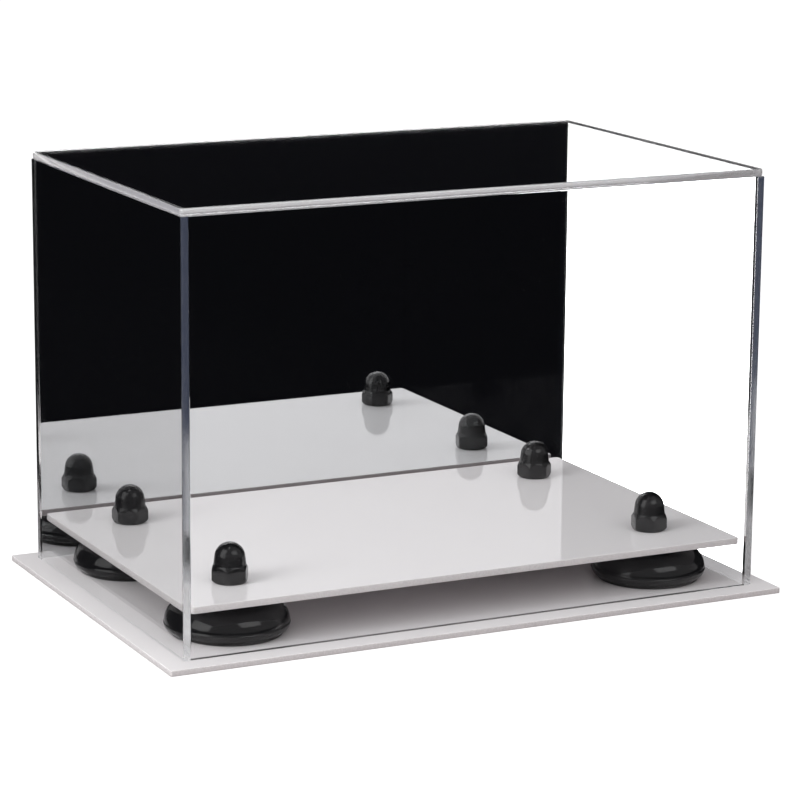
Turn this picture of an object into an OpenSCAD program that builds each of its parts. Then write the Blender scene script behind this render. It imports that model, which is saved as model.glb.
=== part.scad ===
// Football display case: a clear cover with a mirror back stands on a white base plate,
// over a white shelf that four round risers carry. A cap nut holds the shelf at each riser.
// Millimetres, +Z up, +X along the case. The front faces -Y.
// The origin is at the middle of the base plate's underside.

/* [Cover] */
// Width of the cover over its side sheets
cover_w = 270; // [240:1:330]
// Depth of the cover from front face to mirror back
cover_d = 171.5; // [150:0.5:220]
// Height of the cover with its top sheet
cover_h = 185; // [120:1:260]
// Thickness of the cover's sheets
sheet_t = 3.2; // [2:0.1:5]
// Corner radius of the top sheet
top_corner_r = 2.5; // [0.5:0.5:6]

/* [Base plate] */
// How far the base plate reaches past the cover on every side
base_margin = 9.5; // [4:0.5:20]
// Thickness of the base plate
base_t = 2.5; // [2:0.1:6]
// Corner radius of the base plate
base_corner_r = 1; // [0.5:0.5:6]

/* [Shelf] */
// Gap between the shelf and the side sheets
shelf_gap_x = 1.8; // [0.5:0.1:4]
// Gap between the shelf and the front and back sheets
shelf_gap_y = 0.6; // [0.4:0.1:4]
// Thickness of the shelf
shelf_t = 3; // [2:0.1:6]
// Corner radius of the shelf
shelf_corner_r = 1.5; // [0.5:0.5:6]
// Distance from the shelf's edges to the middle of each riser
riser_inset = 29; // [27:0.5:40]

/* [Risers] */
// Height from the base plate to the underside of the shelf
riser_h = 18.5; // [17:0.5:24]
// Radius of the riser over its rim
riser_r = 25.4; // [25:0.1:26]
// Height of the top of the rim above the base plate
rim_top_h = 5; // [4.5:0.1:5.5]
// Radius of the riser's round shoulder in cross section
shoulder_r = 9; // [8:0.1:9.5]
// Radius of the flat hub that meets the shelf
hub_r = 9.5; // [8:0.1:11]
// Radius of the rubber pad under the riser
pad_r = 22.5; // [20:0.5:24]
// Thickness of the rubber pad
pad_t = 2; // [1.5:0.1:3]

/* [Riser bolts] */
// Diameter of the bolt's shank
bolt_d = 9.5; // [8:0.1:10]
// Width of the bolt's hexagon head across its flats
head_af = 14.3; // [13:0.1:15]
// Height of the bolt's head
head_h = 6; // [4:0.1:7]
// How far the bolt reaches into the cap nut
bolt_reach = 12.1; // [8:0.1:12.5]

/* [Cap nuts] */
// Width of the cap nut across its flats
nut_af = 14.3; // [14:0.1:16]
// Height of the cap nut
nut_h = 17; // [16.5:0.1:20]
// Height of the flats at the corners of the hexagon
nut_hex_h = 5.3; // [4:0.1:6]
// Radius of the dome where it leaves the hexagon
dome_foot_r = 6.9; // [6.6:0.05:7.05]
// Radius of the round crown
crown_r = 6.5; // [6:0.1:6.5]
// Radial clearance between the bolt and the cap nut
nut_clearance = 0.05; // [0.02:0.01:0.1]

/* [Hidden] */
$fn = 64;

// The corners of the stand: name, side along X, side along Y, and the way the tight cap nut
// happens to point, in degrees
CORNERS = [["front_left", -1, -1, 59], ["front_right", 1, -1, 14],
           ["back_left", -1, 1, 29], ["back_right", 1, 1, 45]];
SHEETS = ["cover_top", "cover_front", "cover_left", "cover_right", "mirror_back"];
function corner_node(kind, corner) = str(kind, "_", corner[0]);
function corner_nodes(kind) = [for (corner = CORNERS) corner_node(kind, corner)];

// Plan sizes
base_w = cover_w + 2 * base_margin;
base_d = cover_d + 2 * base_margin;
inner_w = cover_w - 2 * sheet_t;
inner_d = cover_d - 2 * sheet_t;
shelf_w = inner_w - 2 * shelf_gap_x;
shelf_d = inner_d - 2 * shelf_gap_y;
riser_x = shelf_w / 2 - riser_inset;
riser_y = shelf_d / 2 - riser_inset;

// Levels above the table
wall_h = cover_h - sheet_t;
cover_top_z = base_t + wall_h;
shelf_z = base_t + riser_h;
shelf_top_z = shelf_z + shelf_t;

// Holes, and the pocket that keeps the bolt's head from turning
foot_hole_r = bolt_d / 2 + 0.1;
shelf_hole_r = bolt_d / 2 + 0.4;
pocket_play = 0.1;
head_gap = 0.2;
head_top_z = pad_t + head_gap + head_h;
shank_l = riser_h + shelf_t + bolt_reach - head_top_z;
nut_bore_r = bolt_d / 2 + nut_clearance;
nut_bore_h = bolt_reach + 0.5;

// Riser: the rim's lower edge is cut back by rim_cut, the shoulder starts just inside the rim, and a
// cone with this lean runs from the shoulder to the hub
rim_step = 0.25;
rim_cut = [0.8, 1.1];
cone_lean = 7;
shoulder_x = riser_r - rim_step - shoulder_r;
cone_r = shoulder_x + shoulder_r * sin(cone_lean);
cone_low_z = rim_top_h + shoulder_r * cos(cone_lean);
cone_high_z = cone_low_z + (cone_r - hub_r) * tan(cone_lean);

// Cap nut: both ends of the hexagon are cut by cones, and the dome runs tangent into the round crown
seat_h = 1.4;
chamfer_z = nut_hex_h + 2.2;
crown_z = nut_h - crown_r;
dome_lean = acos(crown_r / norm([dome_foot_r, crown_z - chamfer_z]))
            - atan2(crown_z - chamfer_z, dome_foot_r);

function across_corners_r(af) = af / sqrt(3);

// A rectangle about the origin with its corners rounded by true arcs
module rounded_rectangle(w, d, r) {
    square([w - 2 * r, d], center = true);
    square([w, d - 2 * r], center = true);
    for (x = [-1, 1], y = [-1, 1])
        translate([x * (w / 2 - r), y * (d / 2 - r)]) circle(r = r);
}

module sheet(w, d, r, t) {
    linear_extrude(height = t) rounded_rectangle(w, d, r);
}

module at_corner(corner, z) {
    translate([corner[1] * riser_x, corner[2] * riser_y, z]) children();
}

module base_plate() {
    color("whitesmoke") sheet(base_w, base_d, base_corner_r, base_t);
}

module shelf_plate() {
    color("whitesmoke") difference() {
        translate([0, 0, shelf_z]) sheet(shelf_w, shelf_d, shelf_corner_r, shelf_t);
        for (corner = CORNERS)
            at_corner(corner, shelf_z - 1) cylinder(r = shelf_hole_r, h = shelf_t + 2);
    }
}

module cover_top() {
    color("lightcyan", 0.3)
        translate([0, 0, cover_top_z]) sheet(cover_w, cover_d, top_corner_r, sheet_t);
}

module cover_front() {
    color("lightcyan", 0.3)
        translate([-inner_w / 2, -cover_d / 2, base_t]) cube([inner_w, sheet_t, wall_h]);
}

// side is -1 for the left sheet and 1 for the right sheet
module cover_side(side) {
    middle = side * (cover_w - sheet_t) / 2;
    color("lightcyan", 0.3)
        translate([middle - sheet_t / 2, -cover_d / 2, base_t])
            cube([sheet_t, cover_d - sheet_t, wall_h]);
}

module mirror_back() {
    color("dimgray")
        translate([-cover_w / 2, cover_d / 2 - sheet_t, base_t]) cube([cover_w, sheet_t, wall_h]);
}

// Half section of the riser foot, from the top of the pad to the shelf
module riser_section() {
    polygon([[0, pad_t], [riser_r - rim_cut[0], pad_t], [riser_r, pad_t + rim_cut[1]],
             [riser_r, rim_top_h], [0, rim_top_h]]);
    intersection() {
        translate([shoulder_x, rim_top_h]) circle(r = shoulder_r);
        translate([0, rim_top_h]) square([riser_r, shoulder_r]);
    }
    polygon([[0, rim_top_h], [shoulder_x, rim_top_h], [cone_r, cone_low_z],
             [hub_r, cone_high_z], [0, cone_high_z]]);
    translate([0, pad_t]) square([hub_r, riser_h - pad_t]);
}

module hexagon(af, h) {
    cylinder(r = across_corners_r(af), h = h, $fn = 6);
}

module riser_foot(corner) {
    color([0.08, 0.08, 0.08]) at_corner(corner, base_t) difference() {
        rotate_extrude() riser_section();
        cylinder(r = foot_hole_r, h = riser_h + 1);
        hexagon(head_af + 2 * pocket_play, head_top_z);
    }
}

module riser_pad(corner) {
    color([0.03, 0.03, 0.03]) at_corner(corner, base_t) cylinder(r = pad_r, h = pad_t);
}

module riser_bolt(corner) {
    color("silver") at_corner(corner, base_t) union() {
        translate([0, 0, pad_t + head_gap]) hexagon(head_af, head_h);
        translate([0, 0, pad_t + head_gap]) cylinder(r = bolt_d / 2, h = head_h + shank_l);
    }
}

// Half section of the cap nut's outside, wide enough at the hexagon for its corners
module cap_nut_section() {
    corner_r = across_corners_r(nut_af) + 0.05;
    polygon([[0, 0], [dome_foot_r, 0], [corner_r, seat_h], [corner_r, nut_hex_h],
             [dome_foot_r, chamfer_z],
             [crown_r * cos(dome_lean), crown_z + crown_r * sin(dome_lean)], [0, crown_z]]);
    intersection() {
        translate([0, crown_z]) circle(r = crown_r);
        translate([0, chamfer_z]) square([crown_r + 1, nut_h]);
    }
}

module cap_nut(corner) {
    color([0.08, 0.08, 0.08]) at_corner(corner, shelf_top_z) rotate([0, 0, corner[3]])
        difference() {
            intersection() {
                rotate_extrude() cap_nut_section();
                hexagon(nut_af, nut_h);
            }
            translate([0, 0, -1]) cylinder(r = nut_bore_r, h = nut_bore_h + 1);
        }
}

base_plate();
shelf_plate();
cover_top();
cover_front();
cover_side(-1);  // cover_left
cover_side(1);  // cover_right
mirror_back();
for (corner = CORNERS) {
    riser_foot(corner);
    riser_pad(corner);
    riser_bolt(corner);
    cap_nut(corner);
}
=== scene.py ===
import math

import bmesh
import bpy
from mathutils import Matrix, Vector


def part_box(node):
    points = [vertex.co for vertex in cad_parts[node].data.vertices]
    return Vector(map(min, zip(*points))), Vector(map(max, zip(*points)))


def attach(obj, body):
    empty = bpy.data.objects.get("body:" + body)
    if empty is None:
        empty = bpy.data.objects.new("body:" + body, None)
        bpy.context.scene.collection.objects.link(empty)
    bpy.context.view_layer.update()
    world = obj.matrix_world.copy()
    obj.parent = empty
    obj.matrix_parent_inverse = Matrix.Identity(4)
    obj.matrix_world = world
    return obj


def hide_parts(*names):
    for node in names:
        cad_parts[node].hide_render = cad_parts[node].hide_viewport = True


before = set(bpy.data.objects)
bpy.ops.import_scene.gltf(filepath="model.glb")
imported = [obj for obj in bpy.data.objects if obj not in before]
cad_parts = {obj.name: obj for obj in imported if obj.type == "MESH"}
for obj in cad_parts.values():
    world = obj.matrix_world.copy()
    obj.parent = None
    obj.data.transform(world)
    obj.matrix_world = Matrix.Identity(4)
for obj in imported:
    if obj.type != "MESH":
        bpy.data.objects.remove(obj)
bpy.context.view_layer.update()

MM = 0.001
CORNERS = ("front_left", "front_right", "back_left", "back_right")

# Direction of each cap nut's first corner, in degrees, as in the CAD model
NUT_TURN = {"front_left": 59, "front_right": 14, "back_left": 29, "back_right": 45}

# Sizes in millimetres that the visual pieces add to the CAD boxes
JOINT_GAP = 0.03        # air left at each glued face, so that no two clear faces coincide
FOOT_GAP = 0.1          # air under the cover's walls, which rest on the base plate
SEAT_GAP = 0.02         # air under each cap nut, so that its seat doesn't coincide with the shelf
SHEET_EDGE = 0.22       # edge round of a wall sheet
TOP_EDGE = 0.8          # edge round of the top sheet
PLATE_EDGE = 0.35       # edge round of the white plates
FILM_EDGE = 0.01        # edge round of the silver film
PAINT_EDGE = 0.05       # edge round of the paint
FILM_T = 0.06           # thickness of the mirror's silver film
PAINT_T = 0.14          # thickness of the paint behind the film
FILM_INSET = 0.15       # how far the film stays inside the sheet's outline, and the paint a third of that
TOP_CORNER_R = 2.5
BASE_CORNER_R = 1.0
SHELF_CORNER_R = 1.5

# Riser and bolt sizes in millimetres, as in the CAD model
SHELF_HOLE_R = 5.15
FOOT_HOLE_R = 4.85
POCKET_AF = 14.5
POCKET_TOP = 8.2
PAD_T = 2.0
RIM_TOP = 5.0
SHOULDER_R = 9.0
SHOULDER_STEP = 0.25
HUB_R = 9.5

# Cap nut sizes in millimetres, as in the CAD model
NUT_AF = 14.3
NUT_H = 17.0
NUT_CORNER_R = 8.3      # reach of the hexagon's corners before they are rounded
NUT_CORNER_ROUND = 0.35
DOME_FOOT_R = 6.9
SEAT_H = 1.4
SEAT_CONE_GAP = 0.03    # how far the seat's cone stays above the CAD model's
CHAMFER_LOW = 5.3
CHAMFER_HIGH = 7.5
CROWN_R = 6.5
CROWN_Z = 10.5
DOME_LEAN_DEG = 6.7
BORE_R = 4.8
BORE_H = 12.6

# The studio's light, as the world gives it to each kind of ray. These values and the lamps below are fitted
# to the photograph from its own viewpoint, not measured
BACKDROP = (4.5, 4.5, 4.5)              # seen straight, or through clear sheets
DARK_STUDIO = (0.004, 0.004, 0.005)     # reflected, towards the back of the studio
FAR_SIDE = (0.45, 0.44, 0.45)           # the same, for a reflection that leaves the case through a sheet
ROOM = (0.38, 0.37, 0.375)              # reflected once, towards the camera's side
MIRRORED_ROOM = (1.2, 1.16, 1.17)       # reflected twice or more, towards the camera's side
PIPED_BACKDROP = (0.42, 0.42, 0.42)     # turned many times inside a sheet, from the back
DUSK = (0.05, 0.06, 0.1)                # the same, from the camera's side
HORIZON_FILL = (0.22, 0.06, 0.06)       # gathered by matt surfaces from level directions
ZENITH_FILL = (0.71, 0.76, 0.77)        # gathered by matt surfaces from overhead
FLOOR_BOUNCE = (0.4, 0.38, 0.39)        # the floor's colour for matt surfaces

# Soft lamps: name, place in metres, width, height, watts, and whether gloss reflects them
LAMPS = (
    ("left", (-1.14, -0.16, 0.68), 0.9, 1.3, 6, True),
    ("left_fill", (-1.14, -0.27, 0.72), 0.6, 0.95, 5, False),
    ("left_low", (-1.27, -0.31, 0.38), 0.6, 0.6, 5.4, False),
    ("front", (0.3, -0.98, 0.86), 0.9, 0.6, 2.6, True),
    ("front_fill", (-0.75, -0.95, 0.7), 0.6, 0.6, 2.4, False),
    ("front_low", (-0.1, -2.09, 0.69), 1.2, 0.6, 5.5, False),
    ("top", (-0.25, -0.15, 2.4), 0.2, 0.2, 1.5, True),
)
LAMP_AIM = Vector((0, 0, 0.05))

# The photograph's viewpoint, found from the case's own corners: place in metres, angles in degrees
CAMERA_PLACE = (-0.5959, -1.2078, 0.3842)
CAMERA_AZIMUTH = 26.418
CAMERA_ELEVATION = 12.693
CAMERA_ROLL = -0.504
FOCAL_PX = 3131
FRAME_PX = 800
SENSOR_MM = 36


# ---------------------------------------------------------------- shader nodes


def feed(tree, value, socket):
    """Gives an input socket a number, a colour, or the output of another socket."""
    if isinstance(value, bpy.types.NodeSocket):
        tree.links.new(value, socket)
    elif isinstance(value, tuple):
        socket.default_value = (*value, 1.0)
    else:
        socket.default_value = value


def calculate(tree, operation, first, second, clamp=False):
    node = tree.nodes.new("ShaderNodeMath")
    node.operation = operation
    node.use_clamp = clamp
    feed(tree, first, node.inputs[0])
    feed(tree, second, node.inputs[1])
    return node.outputs["Value"]


def at_least(tree, count, value):
    """1 where a whole number has reached the value, and else 0."""
    return calculate(tree, "GREATER_THAN", count, value - 0.5)


def pick_colour(tree, factor, first, second):
    """first where factor is 0, second where it is 1, and a blend between. Each is a colour or a socket."""
    node = tree.nodes.new("ShaderNodeMix")
    node.data_type = "RGBA"
    feed(tree, first, node.inputs["A"])
    feed(tree, second, node.inputs["B"])
    feed(tree, factor, node.inputs["Factor"])
    return node.outputs["Result"]


def noise(tree, scale, detail=3.0):
    """Noise in the object's own space. Returns its factor socket."""
    coords = tree.nodes.new("ShaderNodeTexCoord")
    node = tree.nodes.new("ShaderNodeTexNoise")
    feed(tree, scale, node.inputs["Scale"])
    feed(tree, detail, node.inputs["Detail"])
    feed(tree, coords.outputs["Object"], node.inputs["Vector"])
    return node.outputs["Fac"]


# ---------------------------------------------------------------- materials


def new_material(name, colour, roughness, ior=1.49, metallic=0.0):
    """A material with one Principled shader. Returns the material, its node tree and the shader's inputs."""
    mat = bpy.data.materials.new(name)
    mat.use_nodes = True
    inputs = mat.node_tree.nodes["Principled BSDF"].inputs
    inputs["Base Color"].default_value = (*colour, 1.0)
    inputs["Roughness"].default_value = roughness
    inputs["IOR"].default_value = ior
    inputs["Metallic"].default_value = metallic
    return mat, mat.node_tree, inputs


def vary_colour(tree, inputs, factor, low, high):
    feed(tree, pick_colour(tree, factor, low, high), inputs["Base Color"])


def vary_roughness(tree, inputs, factor, low, high):
    """Roughness from low to high over the middle of the noise's range."""
    node = tree.nodes.new("ShaderNodeMapRange")
    node.inputs["From Min"].default_value = 0.3
    node.inputs["From Max"].default_value = 0.7
    node.inputs["To Min"].default_value = low
    node.inputs["To Max"].default_value = high
    feed(tree, factor, node.inputs["Value"])
    feed(tree, node.outputs["Result"], inputs["Roughness"])


def add_bump(tree, inputs, factor, height_mm, strength):
    node = tree.nodes.new("ShaderNodeBump")
    node.inputs["Strength"].default_value = strength
    node.inputs["Distance"].default_value = height_mm * MM
    feed(tree, factor, node.inputs["Height"])
    feed(tree, node.outputs["Normal"], inputs["Normal"])


def mix_with_clear(mat, factor, tint):
    """Swaps the material's shader for a transparent one where factor is 1."""
    tree = mat.node_tree
    mix = tree.nodes.new("ShaderNodeMixShader")
    clear = tree.nodes.new("ShaderNodeBsdfTransparent")
    clear.inputs["Color"].default_value = (*tint, 1.0)
    feed(tree, factor, mix.inputs["Fac"])
    feed(tree, tree.nodes["Principled BSDF"].outputs["BSDF"], mix.inputs[1])
    feed(tree, clear.outputs["BSDF"], mix.inputs[2])
    feed(tree, mix.outputs["Shader"], tree.nodes["Material Output"].inputs["Surface"])
    return mat


def let_light_through(mat):
    """Lamp light, and what matt and satin surfaces gather, goes straight through this clear material, less
    the share that its faces turn away."""
    tree = mat.node_tree
    path = tree.nodes.new("ShaderNodeLightPath").outputs
    satin = path["Is Glossy Ray"]
    for other in ("Is Singular Ray", "Is Transmission Ray"):
        satin = calculate(tree, "SUBTRACT", satin, path[other], clamp=True)
    factor = calculate(tree, "MAXIMUM", path["Is Shadow Ray"], path["Is Diffuse Ray"])
    factor = calculate(tree, "MAXIMUM", factor, satin)
    return mix_with_clear(mat, factor, (0.94, 0.94, 0.94))


def let_matt_light_through(mat):
    """Matt surfaces gather the studio's fill light through this material. A mirror would turn that light back
    to them, and the fill is alike on both sides of it."""
    path = mat.node_tree.nodes.new("ShaderNodeLightPath").outputs
    return mix_with_clear(mat, path["Is Diffuse Ray"], (1.0, 1.0, 1.0))


def clear_acrylic(name):
    mat, tree, inputs = new_material(name, (0.985, 0.992, 0.995), 0.0)
    inputs["Transmission Weight"].default_value = 1.0
    inputs["Specular Tint"].default_value = (0.35, 0.35, 0.35, 1.0)
    add_bump(tree, inputs, noise(tree, 14.0, 1.0), 0.02, 0.6)
    return let_light_through(mat)


def clear_edge(name, low, high, clear=1.0, tint=(0.965, 0.975, 0.985)):
    """A machined edge of a clear sheet, with faint cutter marks. low and high are its least and greatest
    roughness, and clear is the share of light that it lets through."""
    mat, tree, inputs = new_material(name, tint, low)
    inputs["Transmission Weight"].default_value = clear
    marks = noise(tree, 900.0, 2.0)
    vary_roughness(tree, inputs, marks, low, high)
    add_bump(tree, inputs, marks, 0.004, 0.5)
    return let_light_through(mat)


def white_acrylic():
    mat, tree, inputs = new_material("white_acrylic", (0.8, 0.79, 0.795), 0.04)
    vary_colour(tree, inputs, noise(tree, 26.0, 4.0), (0.79, 0.775, 0.785), (0.82, 0.81, 0.815))
    vary_roughness(tree, inputs, noise(tree, 180.0, 5.0), 0.03, 0.06)
    add_bump(tree, inputs, noise(tree, 60.0, 2.0), 0.01, 0.4)
    return mat


def white_edge_painted_shade():
    """The machined edge of a white plate, duller than its faces. Its darker colour is painted shade for the
    plate's sides, which get less of the light from above.
    """
    mat, tree, inputs = new_material("white_acrylic_edge_painted_shade", (0.57, 0.56, 0.56), 0.25)
    marks = noise(tree, 1400.0, 3.0)
    vary_colour(tree, inputs, marks, (0.55, 0.54, 0.54), (0.59, 0.58, 0.58))
    vary_roughness(tree, inputs, marks, 0.2, 0.35)
    add_bump(tree, inputs, marks, 0.003, 0.4)
    return mat


def black_plastic(name, low, high):
    """Moulded black plastic. low and high are its least and greatest roughness."""
    mat, tree, inputs = new_material(name, (0.007, 0.007, 0.0075), 0.25)
    grain = noise(tree, 700.0, 4.0)
    vary_colour(tree, inputs, grain, (0.004, 0.004, 0.0045), (0.01, 0.01, 0.0105))
    vary_roughness(tree, inputs, grain, low, high)
    add_bump(tree, inputs, grain, 0.012, 0.5)
    return mat


def black_rubber():
    mat, tree, inputs = new_material("black_rubber", (0.012, 0.012, 0.012), 0.7)
    grain = noise(tree, 1500.0, 5.0)
    vary_colour(tree, inputs, grain, (0.009, 0.009, 0.009), (0.02, 0.02, 0.02))
    vary_roughness(tree, inputs, grain, 0.6, 0.85)
    add_bump(tree, inputs, grain, 0.03, 0.7)
    return mat


def zinc_steel():
    mat, tree, inputs = new_material("zinc_steel", (0.62, 0.62, 0.6), 0.3, metallic=1.0)
    bloom = noise(tree, 220.0, 4.0)
    vary_colour(tree, inputs, bloom, (0.55, 0.55, 0.53), (0.68, 0.68, 0.66))
    vary_roughness(tree, inputs, bloom, 0.22, 0.42)
    return mat


def mirror_film():
    mat, tree, inputs = new_material("mirror_film", (0.86, 0.875, 0.88), 0.01, metallic=1.0)
    vary_colour(tree, inputs, noise(tree, 9.0, 2.0), (0.85, 0.865, 0.87), (0.87, 0.885, 0.89))
    return let_matt_light_through(mat)


def mirror_paint():
    mat, tree, inputs = new_material("mirror_paint", (0.2, 0.21, 0.23), 0.5)
    vary_colour(tree, inputs, noise(tree, 12.0, 3.0), (0.18, 0.19, 0.21), (0.23, 0.24, 0.26))
    spray = noise(tree, 900.0, 4.0)
    vary_roughness(tree, inputs, spray, 0.42, 0.6)
    add_bump(tree, inputs, spray, 0.02, 0.6)
    return let_matt_light_through(mat)


CLEAR = clear_acrylic("clear_acrylic")
CLEAR_EDGE = clear_edge("clear_acrylic_edge", 0.1, 0.2)
POLISHED_EDGE = clear_edge("clear_acrylic_polished_edge", 0.14, 0.26, 0.85)
SAWN_EDGE = clear_edge("clear_acrylic_sawn_edge", 0.5, 0.7, 0.5)
# Painted shade: the grey tint darkens the front sheet's foot edge into the dark line of shade where the front
# sheet meets the base plate; the real sheet is clear acrylic there too
FRONT_FOOT_PAINTED_SHADE = clear_edge("clear_acrylic_foot_edge_painted_shade", 0.3, 0.5, 1.0, (0.25, 0.25, 0.26))
MIRROR_CLEAR = clear_acrylic("mirror_clear_acrylic")
WHITE = white_acrylic()
# The white plates' edges are a darker white: painted shade on their sides
WHITE_EDGE_PAINTED_SHADE = white_edge_painted_shade()
NUT_PLASTIC = black_plastic("black_nylon", 0.14, 0.22)
FOOT_PLASTIC = black_plastic("black_moulded_plastic", 0.06, 0.12)
RUBBER = black_rubber()
STEEL = zinc_steel()
FILM = mirror_film()
PAINT = mirror_paint()


# ---------------------------------------------------------------- mesh helpers


def node_box(node):
    """Lowest and highest corner of a CAD node, in millimetres."""
    low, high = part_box(node)
    return Vector(low) / MM, Vector(high) / MM


def from_bmesh(name, bm, materials):
    """An object from a bmesh, with its faces turned outwards."""
    bmesh.ops.recalc_face_normals(bm, faces=bm.faces)
    mesh = bpy.data.meshes.new(name)
    bm.to_mesh(mesh)
    bm.free()
    for mat in materials:
        mesh.materials.append(mat)
    obj = bpy.data.objects.new(name, mesh)
    bpy.context.scene.collection.objects.link(obj)
    return obj


def paint_edges(bm, thin_axis, materials):
    """Faces that turn away from the thin axis take the second material, and downward ones the third."""
    bm.normal_update()
    for face in bm.faces:
        if len(materials) == 1 or abs(face.normal[thin_axis]) > 0.95:
            face.material_index = 0
        elif len(materials) > 2 and face.normal.z < -0.3:
            face.material_index = 2
        else:
            face.material_index = 1


def sheet_box(name, low, high, thin_axis, materials, edge=SHEET_EDGE):
    """A flat sheet between two corners in mm, with rounded edges."""
    bm = bmesh.new()
    size = high - low
    bmesh.ops.create_cube(bm, size=1.0)
    place = Matrix.Translation((low + high) / 2 * MM) @ Matrix.Diagonal((*(size * MM), 1.0))
    bmesh.ops.transform(bm, matrix=place, verts=bm.verts)
    bmesh.ops.bevel(bm, geom=list(bm.edges), offset=edge * MM, segments=3, profile=0.5, affect="EDGES")
    paint_edges(bm, thin_axis, materials)
    return from_bmesh(name, bm, materials)


def circle_points(x, y, r, count=48):
    return [(x + r * math.cos(2 * math.pi * i / count), y + r * math.sin(2 * math.pi * i / count))
            for i in range(count)]


def rounded_outline(low, high, r, steps=8):
    """Points round a rectangle in plan whose corners have radius r."""
    points = []
    for quarter, (x, y) in enumerate(((high.x - r, high.y - r), (low.x + r, high.y - r),
                                      (low.x + r, low.y + r), (high.x - r, low.y + r))):
        for i in range(steps + 1):
            a = math.radians(90 * (quarter + i / steps))
            points.append((x + r * math.cos(a), y + r * math.sin(a)))
    return points


def filled_curve(name, outlines, half_t, edge):
    """A mesh from flat outlines in mm, filled and thickened to half_t each way, with rounded edges."""
    curve = bpy.data.curves.new(name, "CURVE")
    curve.dimensions = "2D"
    curve.fill_mode = "BOTH"
    curve.extrude = (half_t - edge) * MM
    curve.bevel_depth = edge * MM
    curve.bevel_resolution = 2
    curve.offset = -edge * MM
    for points in outlines:
        spline = curve.splines.new("POLY")
        spline.points.add(len(points) - 1)
        for point, (x, y) in zip(spline.points, points):
            point.co = (x * MM, y * MM, 0.0, 1.0)
        spline.use_cyclic_u = True
    maker = bpy.data.objects.new(name + "_curve", curve)
    bpy.context.scene.collection.objects.link(maker)
    bpy.context.view_layer.update()
    mesh = bpy.data.meshes.new_from_object(maker.evaluated_get(bpy.context.evaluated_depsgraph_get()))
    bpy.data.objects.remove(maker)
    return mesh


def flat_plate(name, low, high, corner_r, edge, materials, holes=()):
    """A level plate between two corners in mm, with round corners, rounded edges and round holes."""
    outlines = [rounded_outline(low, high, corner_r)] + [circle_points(*hole) for hole in holes]
    mesh = filled_curve(name, outlines, (high.z - low.z) / 2, edge)
    bm = bmesh.new()
    bm.from_mesh(mesh)
    bpy.data.meshes.remove(mesh)
    bmesh.ops.remove_doubles(bm, verts=bm.verts, dist=0.00001)
    bmesh.ops.translate(bm, verts=bm.verts, vec=(0, 0, (low.z + high.z) / 2 * MM))
    paint_edges(bm, 2, materials)
    return from_bmesh(name, bm, materials)


def round_corner(before, here, after, radius, steps):
    """Points of an arc in place of the corner here, or none where the line runs almost straight."""
    a, b, c = Vector(before), Vector(here), Vector(after)
    u, v = (a - b).normalized(), (c - b).normalized()
    half = u.angle(v) / 2
    if half < 0.01 or half > 1.56:
        return None
    reach = min(radius / math.tan(half), (a - b).length * 0.49, (c - b).length * 0.49)
    r = reach * math.tan(half)
    middle = b + (u + v).normalized() * (r / math.sin(half))
    start, end = b + u * reach - middle, b + v * reach - middle
    turn = start.angle_signed(end)
    return [tuple(middle + Matrix.Rotation(-turn * i / steps, 2) @ start) for i in range(steps + 1)]


def fillet(points, radii, steps=4):
    """Rounds the corners of an open line in (r, z). radii gives each inner corner's radius. The count of
    points depends only on the count of corners, so that neighbouring lines can be joined."""
    made = [points[0]]
    for before, here, after, radius in zip(points, points[1:], points[2:], radii):
        made.extend(round_corner(before, here, after, radius, steps) or [here] * (steps + 1))
    made.append(points[-1])
    return made


def arc(x, z, r, angles):
    return [(x + r * math.cos(a), z + r * math.sin(a)) for a in angles]


def polar_loft(name, profile_at, angles, centre, materials, sharp_deg=40, closed=False):
    """A solid whose outline in (r, z) is profile_at(angle), in mm about a vertical line through centre.
    A profile that starts and ends on the axis closes there; with closed it is a ring instead."""
    bm = bmesh.new()
    columns = []
    for angle in angles:
        c, s = math.cos(angle), math.sin(angle)
        columns.append([bm.verts.new(((centre.x + r * c) * MM, (centre.y + r * s) * MM, (centre.z + z) * MM))
                        for r, z in profile_at(angle)])
    count = len(columns[0])
    for i, column in enumerate(columns):
        following = columns[(i + 1) % len(columns)]
        for j in range(count if closed else count - 1):
            k = (j + 1) % count
            bm.faces.new((column[j], column[k], following[k], following[j]))
    bmesh.ops.remove_doubles(bm, verts=bm.verts, dist=0.000002)
    bmesh.ops.dissolve_degenerate(bm, edges=bm.edges, dist=0.000001)
    obj = from_bmesh(name, bm, materials)
    obj.data.shade_smooth()
    obj.data.set_sharp_from_angle(angle=math.radians(sharp_deg))
    return obj


def even_angles(count):
    return [2 * math.pi * i / count for i in range(count)]


def hexagon_angles(turn_deg, per_side=14):
    """Angles round a hexagon with its first corner at turn_deg, closer together near its corners."""
    made = []
    for side in range(6):
        for i in range(per_side):
            t = i / per_side
            crowding = math.sin(2 * math.pi * t) / (2 * math.pi) * 0.8
            made.append(math.radians(turn_deg + 60 * (side + t - crowding)))
    return made


def hexagon_radius(angle, turn_deg, across_flats, corner_r=0.0):
    """Distance from the middle of a hexagon to its outline, whose corners are rounded by corner_r."""
    a = (angle - math.radians(turn_deg) + math.pi / 6) % (math.pi / 3) - math.pi / 6
    flat = across_flats / 2 / math.cos(math.pi / 6 - abs(a))
    if not corner_r:
        return flat
    middle = (across_flats / 2 - corner_r) / math.cos(math.pi / 6)
    off = middle * math.sin(abs(a))
    if off >= corner_r:
        return flat
    return min(flat, middle * math.cos(a) + math.sqrt(corner_r ** 2 - off ** 2))


def finish_piece(obj, body, slot, *nodes):
    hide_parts(*nodes)
    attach(obj, body)


# ---------------------------------------------------------------- the cover


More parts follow.
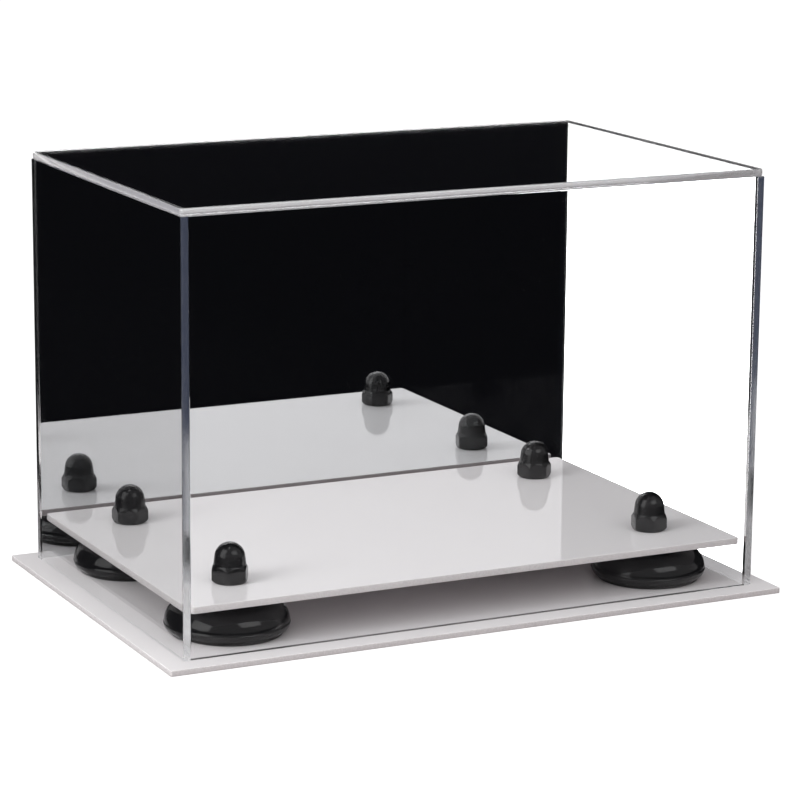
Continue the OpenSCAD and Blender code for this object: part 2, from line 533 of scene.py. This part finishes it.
def build_cover():
    for side in ("left", "right"):
        low, high = node_box(f"cover_{side}")
        pane = sheet_box(f"sheet_{side}", low + Vector((0, 0, FOOT_GAP)),
                         high - Vector((0, JOINT_GAP, JOINT_GAP)), 0, [CLEAR, CLEAR_EDGE, SAWN_EDGE])
        finish_piece(pane, "cover", "clear_acrylic", f"cover_{side}")
    low, high = node_box("cover_front")
    pane = sheet_box("sheet_front", low + Vector((JOINT_GAP, 0, FOOT_GAP)),
                     # The front sheet's downward edge takes the grey-tinted foot material, which is painted
                     # shade
                     high - Vector((JOINT_GAP, 0, JOINT_GAP)), 1, [CLEAR, CLEAR_EDGE, FRONT_FOOT_PAINTED_SHADE])
    finish_piece(pane, "cover", "clear_acrylic", "cover_front")
    low, high = node_box("cover_top")
    pane = flat_plate("sheet_top", low + Vector((0, 0, JOINT_GAP)), high, TOP_CORNER_R, TOP_EDGE,
                      [CLEAR, POLISHED_EDGE])
    finish_piece(pane, "cover", "clear_acrylic", "cover_top")


def build_mirror():
    """The mirror sheet: a clear pane, the silver film behind it, and paint over the film."""
    low, high = node_box("mirror_back")
    low = low + Vector((0, 0, FOOT_GAP))
    high = high - Vector((0, 0, JOINT_GAP))
    paint_y = high.y - PAINT_T
    film_y = paint_y - JOINT_GAP - FILM_T
    pane = sheet_box("mirror_pane", low, Vector((high.x, film_y - JOINT_GAP, high.z)), 1,
                     [MIRROR_CLEAR, CLEAR_EDGE, SAWN_EDGE])
    inset = Vector((FILM_INSET, 0, FILM_INSET))
    film = sheet_box("mirror_film", Vector((low.x, film_y, low.z)) + inset,
                     Vector((high.x, film_y + FILM_T, high.z)) - inset, 1, [FILM], FILM_EDGE)
    paint = sheet_box("mirror_paint", Vector((low.x, paint_y, low.z)) + inset / 3,
                      Vector((high.x, high.y, high.z)) - inset / 3, 1, [PAINT], PAINT_EDGE)
    for piece in (pane, film, paint):
        finish_piece(piece, "cover", "mirror_acrylic", "mirror_back")


# ---------------------------------------------------------------- base and stand


def corner_centre(corner):
    """The middle of a riser in plan, at the riser pad's underside."""
    low, high = node_box(f"riser_pad_{corner}")
    return Vector(((low.x + high.x) / 2, (low.y + high.y) / 2, low.z))


def build_plates():
    low, high = node_box("base_plate")
    plate = flat_plate("base_panel", low, high, BASE_CORNER_R, PLATE_EDGE, [WHITE, WHITE_EDGE_PAINTED_SHADE])
    finish_piece(plate, "base", "white_acrylic", "base_plate")
    low, high = node_box("shelf_plate")
    centres = [corner_centre(corner) for corner in CORNERS]
    holes = [(centre.x, centre.y, SHELF_HOLE_R) for centre in centres]
    plate = flat_plate("shelf_panel", low, high, SHELF_CORNER_R, PLATE_EDGE, [WHITE, WHITE_EDGE_PAINTED_SHADE], holes)
    finish_piece(plate, "stand", "white_acrylic", "shelf_plate")


def riser_foot_profile(height, rim_r):
    """The foot's outer line in (r, z) from its underside, at the pad, up to the shelf: an undercut rim, a
    round shoulder, and a hub."""
    rim = fillet([(rim_r - 2.5, PAD_T), (rim_r - 1.1, PAD_T), (rim_r - 0.45, PAD_T + 1.1),
                  (rim_r, RIM_TOP - 0.25), (rim_r - 0.25, RIM_TOP + 0.1)], [0.2, 0.25, 0.3])
    shoulder = arc(rim_r - SHOULDER_R - SHOULDER_STEP, RIM_TOP, SHOULDER_R,
                   [math.radians(d) for d in range(5, 85, 4)])
    hub = fillet([shoulder[-1], (HUB_R, RIM_TOP + SHOULDER_R + 0.9), (HUB_R, height - 0.4),
                  (HUB_R - 0.4, height)], [1.2, 0.3])
    return rim + shoulder[:-1] + hub


def build_riser(corner):
    centre = corner_centre(corner)
    _, foot_high = node_box(f"riser_foot_{corner}")
    height = foot_high.z - centre.z
    outer = riser_foot_profile(height, foot_high.x - centre.x)

    def foot_profile(angle):
        pocket_r = hexagon_radius(angle, 0, POCKET_AF)
        return outer + [(FOOT_HOLE_R, height), (FOOT_HOLE_R, POCKET_TOP), (pocket_r, POCKET_TOP),
                        (pocket_r, PAD_T)]

    foot = polar_loft(f"foot_{corner}", foot_profile, even_angles(120), centre, [FOOT_PLASTIC], closed=True)
    finish_piece(foot, "stand", "black_plastic", f"riser_foot_{corner}")

    pad_r = node_box(f"riser_pad_{corner}")[1].x - centre.x
    pad_top = PAD_T - JOINT_GAP
    pad_line = fillet([(0, 0), (pad_r, 0), (pad_r, pad_top), (0, pad_top)], [0.5, 0.3])
    pad = polar_loft(f"pad_{corner}", lambda angle: pad_line, even_angles(96), centre, [RUBBER])
    finish_piece(pad, "stand", "black_rubber", f"riser_pad_{corner}")


def cap_nut_profile(radius):
    """The cap nut's line in (r, z) where its hexagon reaches radius, from the top of the bore round to its
    crown. Cones cut both ends of the hexagon, so that its flats are lower near the corners."""
    cut = (NUT_CORNER_R - radius) / (NUT_CORNER_R - DOME_FOOT_R)
    flat_top = CHAMFER_LOW + cut * (CHAMFER_HIGH - CHAMFER_LOW)
    flat_foot = SEAT_H * (1 - cut) + SEAT_CONE_GAP
    lean = math.radians(DOME_LEAN_DEG)
    bore = [(0.0, BORE_H), (BORE_R, BORE_H), (BORE_R, 0.4), (BORE_R + 0.4, SEAT_GAP)]
    body = fillet([(DOME_FOOT_R - 0.3, SEAT_GAP), (DOME_FOOT_R, SEAT_GAP), (radius, flat_foot),
                   (radius, flat_top), (DOME_FOOT_R, CHAMFER_HIGH), *arc(0, CROWN_Z, CROWN_R, [lean])],
                  [0.15, 0.6, 0.5, 0.5])
    crown = arc(0, CROWN_Z, CROWN_R, [lean + (math.pi / 2 - lean) * i / 14 for i in range(1, 14)])
    return bore + body + crown + [(0.0, NUT_H)]


def build_nut(corner):
    low, high = node_box(f"cap_nut_{corner}")
    centre = Vector(((low.x + high.x) / 2, (low.y + high.y) / 2, low.z))
    turn = NUT_TURN[corner]

    def profile(angle):
        return cap_nut_profile(hexagon_radius(angle, turn, NUT_AF, NUT_CORNER_ROUND))

    nut = polar_loft(f"domed_nut_{corner}", profile, hexagon_angles(turn), centre, [NUT_PLASTIC], 50)
    finish_piece(nut, f"nut_{corner}", "black_plastic", f"cap_nut_{corner}")


def finish_bolt(corner):
    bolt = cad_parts[f"riser_bolt_{corner}"]
    bolt.data.materials.clear()
    bolt.data.materials.append(STEEL)


# ---------------------------------------------------------------- stage


def studio_colour(tree, path, y_value, direct, camera_side, far_side):
    """Colour of the studio: direct, or after a reflection camera_side towards -Y and far_side towards +Y.
    Light piped along a sheet is DUSK from -Y and PIPED_BACKDROP from +Y."""
    behind = calculate(tree, "GREATER_THAN", y_value, 0.0)
    turned = at_least(tree, path["Glossy Depth"], 1)
    piped = at_least(tree, path["Glossy Depth"], 6)
    after_pipe = pick_colour(tree, behind, DUSK, PIPED_BACKDROP)
    mirrored = pick_colour(tree, behind, camera_side, far_side)
    return pick_colour(tree, turned, direct, pick_colour(tree, piped, mirrored, after_pipe))


def build_world():
    world = bpy.data.worlds.new("studio")
    bpy.context.scene.world = world
    world.use_nodes = True
    world.cycles.sampling_method = "NONE"
    tree = world.node_tree
    path = tree.nodes.new("ShaderNodeLightPath").outputs
    direction = tree.nodes.new("ShaderNodeTexCoord")
    split = tree.nodes.new("ShaderNodeSeparateXYZ")
    feed(tree, direction.outputs["Generated"], split.inputs["Vector"])
    turned_twice = at_least(tree, path["Glossy Depth"], 2)
    left_the_case = at_least(tree, path["Transmission Depth"], 3)
    room = pick_colour(tree, turned_twice, ROOM, MIRRORED_ROOM)
    far_side = pick_colour(tree, left_the_case, DARK_STUDIO, FAR_SIDE)
    seen = studio_colour(tree, path, split.outputs["Y"], BACKDROP, room, far_side)
    fill = pick_colour(tree, split.outputs["Z"], HORIZON_FILL, ZENITH_FILL)
    matt = at_least(tree, path["Diffuse Depth"], 1)
    feed(tree, pick_colour(tree, matt, seen, fill), tree.nodes["Background"].inputs["Color"])


def build_floor():
    """A pale floor that takes the studio's colours after a reflection, as the world does."""
    mat, tree, inputs = new_material("studio_floor", (0.9, 0.9, 0.9), 0.6)
    inputs["Specular IOR Level"].default_value = 0.0
    inputs["Emission Strength"].default_value = 1.0
    path = tree.nodes.new("ShaderNodeLightPath").outputs
    place = tree.nodes.new("ShaderNodeNewGeometry")
    split = tree.nodes.new("ShaderNodeSeparateXYZ")
    feed(tree, place.outputs["Position"], split.inputs["Vector"])
    matt = at_least(tree, path["Diffuse Depth"], 1)
    turned = at_least(tree, path["Glossy Depth"], 1)
    through = at_least(tree, path["Transmission Depth"], 1)
    direct = pick_colour(tree, through, (0.9, 0.9, 0.9), BACKDROP)
    seen = studio_colour(tree, path, split.outputs["Y"], direct, DARK_STUDIO, DARK_STUDIO)
    feed(tree, pick_colour(tree, matt, seen, (0.0, 0.0, 0.0)), inputs["Emission Color"])
    colour = pick_colour(tree, turned, (0.3, 0.3, 0.3), (0.0, 0.0, 0.0))
    feed(tree, pick_colour(tree, matt, colour, FLOOR_BOUNCE), inputs["Base Color"])
    bm = bmesh.new()
    bmesh.ops.create_circle(bm, cap_ends=True, radius=12.0, segments=64)
    bmesh.ops.translate(bm, verts=bm.verts, vec=(0, 0, -0.0002))
    from_bmesh("floor", bm, [mat])


def add_lamp(name, place, width, height, watts, glossy):
    data = bpy.data.lights.new(name, "AREA")
    data.shape = "RECTANGLE"
    data.size = width
    data.size_y = height
    data.energy = watts
    lamp = bpy.data.objects.new(name, data)
    lamp.location = place
    lamp.visible_camera = False
    lamp.visible_transmission = False
    lamp.visible_glossy = glossy
    lamp.rotation_mode = "QUATERNION"
    lamp.rotation_quaternion = (LAMP_AIM - Vector(place)).to_track_quat("-Z", "Y")
    bpy.context.scene.collection.objects.link(lamp)


def build_camera():
    azimuth, elevation, roll = (math.radians(a) for a in (CAMERA_AZIMUTH, CAMERA_ELEVATION, CAMERA_ROLL))
    forward = Vector((math.cos(elevation) * math.sin(azimuth), math.cos(elevation) * math.cos(azimuth),
                      -math.sin(elevation)))
    level_right = Vector((math.cos(azimuth), -math.sin(azimuth), 0))
    down = forward.cross(level_right)
    right = math.cos(roll) * level_right + math.sin(roll) * down
    up = math.sin(roll) * level_right - math.cos(roll) * down
    data = bpy.data.cameras.new("camera")
    data.sensor_width = SENSOR_MM
    data.lens = SENSOR_MM * FOCAL_PX / FRAME_PX
    data.clip_end = 50
    camera = bpy.data.objects.new("camera", data)
    axes = Matrix((right, up, -forward)).transposed()
    camera.matrix_world = Matrix.Translation(CAMERA_PLACE) @ axes.to_4x4()
    bpy.context.scene.collection.objects.link(camera)
    bpy.context.scene.camera = camera


def set_view():
    scene = bpy.context.scene
    scene.view_settings.view_transform = "Standard"
    scene.cycles.max_bounces = 48
    scene.cycles.transmission_bounces = 24
    scene.cycles.glossy_bounces = 48
    scene.cycles.transparent_max_bounces = 24
    scene.cycles.caustics_reflective = False
    scene.cycles.caustics_refractive = False


build_camera()
build_cover()
build_mirror()
build_plates()
for corner_name in CORNERS:
    build_riser(corner_name)
    build_nut(corner_name)
    finish_bolt(corner_name)
build_world()
build_floor()
for lamp_values in LAMPS:
    add_lamp(*lamp_values)
set_view()
